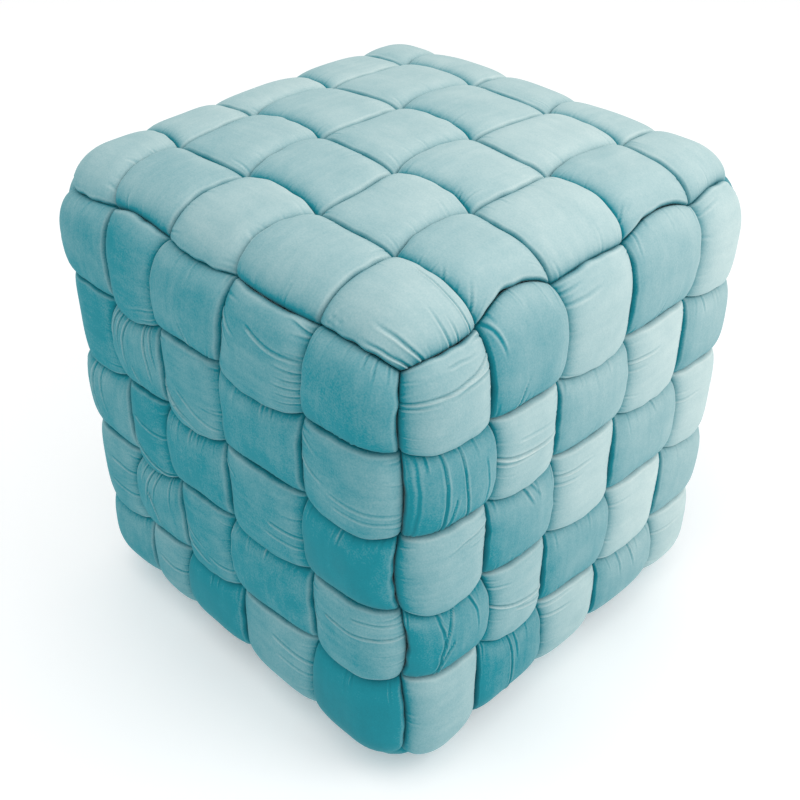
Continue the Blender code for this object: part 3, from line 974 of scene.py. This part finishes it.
def makePileGroup():
    # Colour and height of a short pile, from its nap value with the painted light and shade in it
    group = bpy.data.node_groups.new("velvetPile", "ShaderNodeTree")
    for name, way, kind in (
        ("Dye", "INPUT", "Color"), ("Pale", "INPUT", "Color"), ("Deep", "INPUT", "Color"),
        ("NapAndLight", "INPUT", "Float"), ("Lay", "INPUT", "Vector"), ("Place", "INPUT", "Vector"),
        ("Fleck", "INPUT", "Float"), ("Mottle", "INPUT", "Float"),
        ("Color", "OUTPUT", "Color"), ("Height", "OUTPUT", "Float"),
    ):
        group.interface.new_socket(name=name, in_out=way, socket_type="NodeSocket" + kind)
    given = addNode(group, "NodeGroupInput", (-900, 0))
    shown = addNode(group, "NodeGroupOutput", (820, 0))
    cloud = addNode(group, "ShaderNodeTexNoise", (-650, 300), velvet["cloud"])
    stretch = addNode(group, "ShaderNodeMapping", (-700, -50), {"Scale": velvet["streakStretch"]})
    streak = addNode(group, "ShaderNodeTexNoise", (-450, -50), velvet["streak"])
    tufts = addNode(group, "ShaderNodeTexNoise", (-650, -350), velvet["tufts"])
    both = addSum(group, "MULTIPLY_ADD", (-250, 150), velvet["streakShare"])
    patches = addSum(group, "SUBTRACT", (-80, 150), velvet["patchMiddle"])
    mottled = addSum(group, "MULTIPLY_ADD", (90, 150))
    fine = addSum(group, "SUBTRACT", (-250, -250), velvet["tuftMiddle"])
    flecked = addSum(group, "MULTIPLY_ADD", (260, 100))
    mixed = addNode(group, "ShaderNodeMix", (450, 50), data_type="RGBA")
    # painted seam shade: the deep colour is mixed in where the nap value falls below 0
    away = addSum(group, "MULTIPLY", (450, -200), velvet["seamShadeRate"])
    seamShadeMix = addNode(group, "ShaderNodeMix", (620, 50), data_type="RGBA")
    wire(group, (
        (given, "Place", cloud, "Vector"),
        (given, "Lay", stretch, "Vector"),
        (stretch, "Vector", streak, "Vector"),
        (given, "Place", tufts, "Vector"),
        (streak, "Fac", both, 0),
        (cloud, "Fac", both, 2),
        (both, 0, patches, 0),
        (patches, 0, mottled, 0),
        (given, "Mottle", mottled, 1),
        (given, "NapAndLight", mottled, 2),
        (tufts, "Fac", fine, 0),
        (fine, 0, flecked, 0),
        (given, "Fleck", flecked, 1),
        (mottled, 0, flecked, 2),
        (flecked, 0, mixed, "Factor"),
        (given, "Dye", mixed, "A"),
        (given, "Pale", mixed, "B"),
        (flecked, 0, away, 0),
        (away, 0, seamShadeMix, "Factor"),
        (mixed, "Result", seamShadeMix, "A"),
        (given, "Deep", seamShadeMix, "B"),
        (seamShadeMix, "Result", shown, "Color"),
        (tufts, "Fac", shown, "Height"),
    ))
    return group


pileGroup = makePileGroup()


def newMaterial(name, inputs):
    # A material with these constants on its shader
    material = bpy.data.materials.new(name)
    material.use_nodes = True
    for socket, value in inputs.items():
        shaderOf(material).inputs[socket].default_value = value
    return material


def shaderOf(material):
    return material.node_tree.nodes["Principled BSDF"]


def makeVelvet(name):
    material = newMaterial(name, {
        "Roughness": velvet["roughness"],
        "Sheen Weight": velvet["sheen"],
        "Sheen Roughness": velvet["sheenRoughness"],
        "Sheen Tint": velvet["sheenTint"],
        "Specular IOR Level": velvet["specular"],
    })
    tree, shader = material.node_tree, shaderOf(material)
    pile = addNode(tree, "ShaderNodeGroup", (-400, 100), node_tree=pileGroup)
    for socket in ("Dye", "Pale", "Deep", "Fleck", "Mottle"):
        pile.inputs[socket].default_value = velvet[socket.lower()]
    # the nap value, with its painted light and shade
    lie = addNode(tree, "ShaderNodeAttribute", (-700, 200), attribute_name="napAndPaintedLight")
    lay = addNode(tree, "ShaderNodeAttribute", (-700, 0), attribute_name="lay")
    place = addNode(tree, "ShaderNodeTexCoord", (-700, -200))
    bump = addNode(tree, "ShaderNodeBump", (-180, -200), {
        "Strength": velvet["bump"], "Distance": velvet["pileHeight"],
    })
    wire(tree, (
        (lie, "Fac", pile, "NapAndLight"),
        (lay, "Vector", pile, "Lay"),
        (place, "Object", pile, "Place"),
        (pile, "Color", shader, "Base Color"),
        (pile, "Height", bump, "Height"),
        (bump, "Normal", shader, "Normal"),
    ))
    return material


looks = {
    "x": makeVelvet("xStrapVelvet"),
    "y": makeVelvet("yStrapVelvet"),
    "z": makeVelvet("zBandVelvet"),
}
runs = (
    # family, first pillow, the one after the last, node
    ("x", -pillows - 1, 2 * pillows + 1, "x_strap_"),
    ("y", -pillows - 1, 2 * pillows + 1, "y_strap_"),
    ("z", 0, 4 * pillows, "z_band_"),
)
straps = []
for lane in range(pillows):
    number = str(lane + 1)
    for family, firstCell, lastCell, node in runs:
        piece = addStrap(family + "Strap" + number, family, lane, firstCell, lastCell)
        addNapAndLight(piece, family)
        piece.data.materials.append(looks[family])
        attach(piece, "root")
        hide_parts(node + number)
        straps.append(piece)
    print("straps of lane", number, "made")


# The stuffed body inside the straps: it shows in the gaps and as the plain panel below
body = {
    "depth": 0.0178,        # from the seams in to its cloth
    "cuts": 24,             # cuts across each side
    "panelFrom": 1.0,       # where the flat panel under it starts, in pillows from a side
    "panelInset": 0.06,
    "panelLevel": 0.001,    # faces lower than this are its underside, in pillows
    "dark": (0.010, 0.075, 0.095, 1.0),
    "light": (0.022, 0.125, 0.150, 1.0),
    "threads": 900.0,       # weave waves, for each metre times 2 pi
    "threadWander": 0.4,
    "threadShare": 0.6,     # how much the weave changes the colour
    "cloudScale": 30.0,
    "threadHeight": 0.0002,
    "roughness": 0.9,
    "specular": 0.2,
}


def makeBodyCloth():
    material = newMaterial("darkWovenCloth", {
        "Roughness": body["roughness"], "Specular IOR Level": body["specular"],
    })
    tree, shader = material.node_tree, shaderOf(material)
    place = addNode(tree, "ShaderNodeTexCoord", (-1100, 0))
    weave = addSum(tree, "MULTIPLY", (-500, 0))
    threads = {"Scale": body["threads"] / (2 * math.pi), "Distortion": body["threadWander"]}
    for slot, (direction, level) in enumerate((("X", 150), ("Y", -150))):
        thread = addNode(tree, "ShaderNodeTexWave", (-800, level), threads, bands_direction=direction)
        wire(tree, (
            (place, "Object", thread, "Vector"),
            (thread, "Fac", weave, slot),
        ))
    cloud = addNode(tree, "ShaderNodeTexNoise", (-800, -400), {"Scale": body["cloudScale"]})
    shade = addSum(tree, "MULTIPLY_ADD", (-300, -200), body["threadShare"])
    shade.use_clamp = True
    colors = {"A": body["dark"], "B": body["light"]}
    mixed = addNode(tree, "ShaderNodeMix", (-120, 100), colors, data_type="RGBA")
    bump = addNode(tree, "ShaderNodeBump", (-180, -350), {"Distance": body["threadHeight"]})
    wire(tree, (
        (place, "Object", cloud, "Vector"),
        (weave, 0, shade, 0),
        (cloud, "Fac", shade, 2),
        (shade, 0, mixed, "Factor"),
        (mixed, "Result", shader, "Base Color"),
        (weave, 0, bump, "Height"),
        (bump, "Normal", shader, "Normal"),
    ))
    return material


def isPanelFace(face):
    across, deep, tall = face.calc_center_median()
    middle = pillows / 2
    aside = max(abs(across - middle), abs(deep - middle))
    return tall < body["panelLevel"] and aside < middle - body["panelFrom"]


def addBody():
    # A cube as many units wide as it has pillows, laid on the stuffed form
    mesh = bmesh.new()
    bmesh.ops.create_cube(mesh, size=pillows, matrix=Matrix.Translation((pillows / 2,) * 3))
    bmesh.ops.subdivide_edges(mesh, edges=mesh.edges, cuts=body["cuts"], use_grid_fill=True)
    panelFaces = [face for face in mesh.faces if isPanelFace(face)]
    inset = body["panelInset"]
    bmesh.ops.inset_region(mesh, faces=panelFaces, thickness=inset, use_even_offset=True)
    panel = bmesh.ops.extrude_face_region(mesh, geom=panelFaces)
    bmesh.ops.delete(mesh, geom=panelFaces, context="FACES_KEEP_BOUNDARY")
    panelPoints = {item for item in panel["geom"] if isinstance(item, bmesh.types.BMVert)}
    places = np.array([vert.co[:] for vert in mesh.verts])
    for vert, point in zip(mesh.verts, onCube(places, np.full(len(places), -body["depth"]))):
        vert.co = point
        if vert in panelPoints:
            vert.co.z = 0.0
    bmesh.ops.recalc_face_normals(mesh, faces=mesh.faces)
    piece = addPiece("stuffedBody", mesh)
    piece.data.materials.append(makeBodyCloth())
    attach(piece, "root")
    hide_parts("filled_body")
    return piece


stuffedBody = addBody()
triangles = [
    sum(len(face.vertices) - 2 for face in item.data.polygons)
    for item in straps + [stuffedBody]
]
print("stuffed body made; triangles in all", sum(triangles), "and in the largest piece", max(triangles))


# Floor and light
stage = {
    "world": 0.80,
    "floorSize": 12.0,
    "floorColor": (0.93, 0.93, 0.93, 1.0),
    "floorRoughness": 0.9,
    "floorGlow": 0.20,
    "white": (1.0, 1.0, 1.0, 1.0),
    "aim": (0.0, 0.0, 0.25),
    "lights": (
        # name, place, size, power
        ("keyLight", (1.10, 0.30, 1.30), 0.8, 6.0),
        ("topLight", (-0.2, -0.6, 2.1), 1.4, 6.5),
    ),
}


def addStage():
    mesh = bmesh.new()
    bmesh.ops.create_grid(mesh, x_segments=1, y_segments=1, size=stage["floorSize"] / 2)
    floor = addPiece("paleFloor", mesh)
    material = newMaterial("palePaper", {
        "Base Color": stage["floorColor"],
        "Roughness": stage["floorRoughness"],
        "Emission Color": stage["white"],
        "Emission Strength": stage["floorGlow"],
    })
    floor.data.materials.append(material)
    world = bpy.data.worlds.new("studio")
    world.use_nodes = True
    sky = world.node_tree.nodes["Background"]
    sky.inputs["Color"].default_value = stage["white"]
    sky.inputs["Strength"].default_value = stage["world"]
    bpy.context.scene.world = world
    for name, place, size, power in stage["lights"]:
        lamp = bpy.data.lights.new(name, "AREA")
        lamp.shape = "SQUARE"
        lamp.size = size
        lamp.energy = power
        item = bpy.data.objects.new(name, lamp)
        item.location = place
        away = Vector(place) - Vector(stage["aim"])
        item.rotation_euler = away.to_track_quat("Z", "Y").to_euler()
        bpy.context.scene.collection.objects.link(item)


addStage()
bpy.context.scene.view_settings.view_transform = "Standard"
print("stage lit")
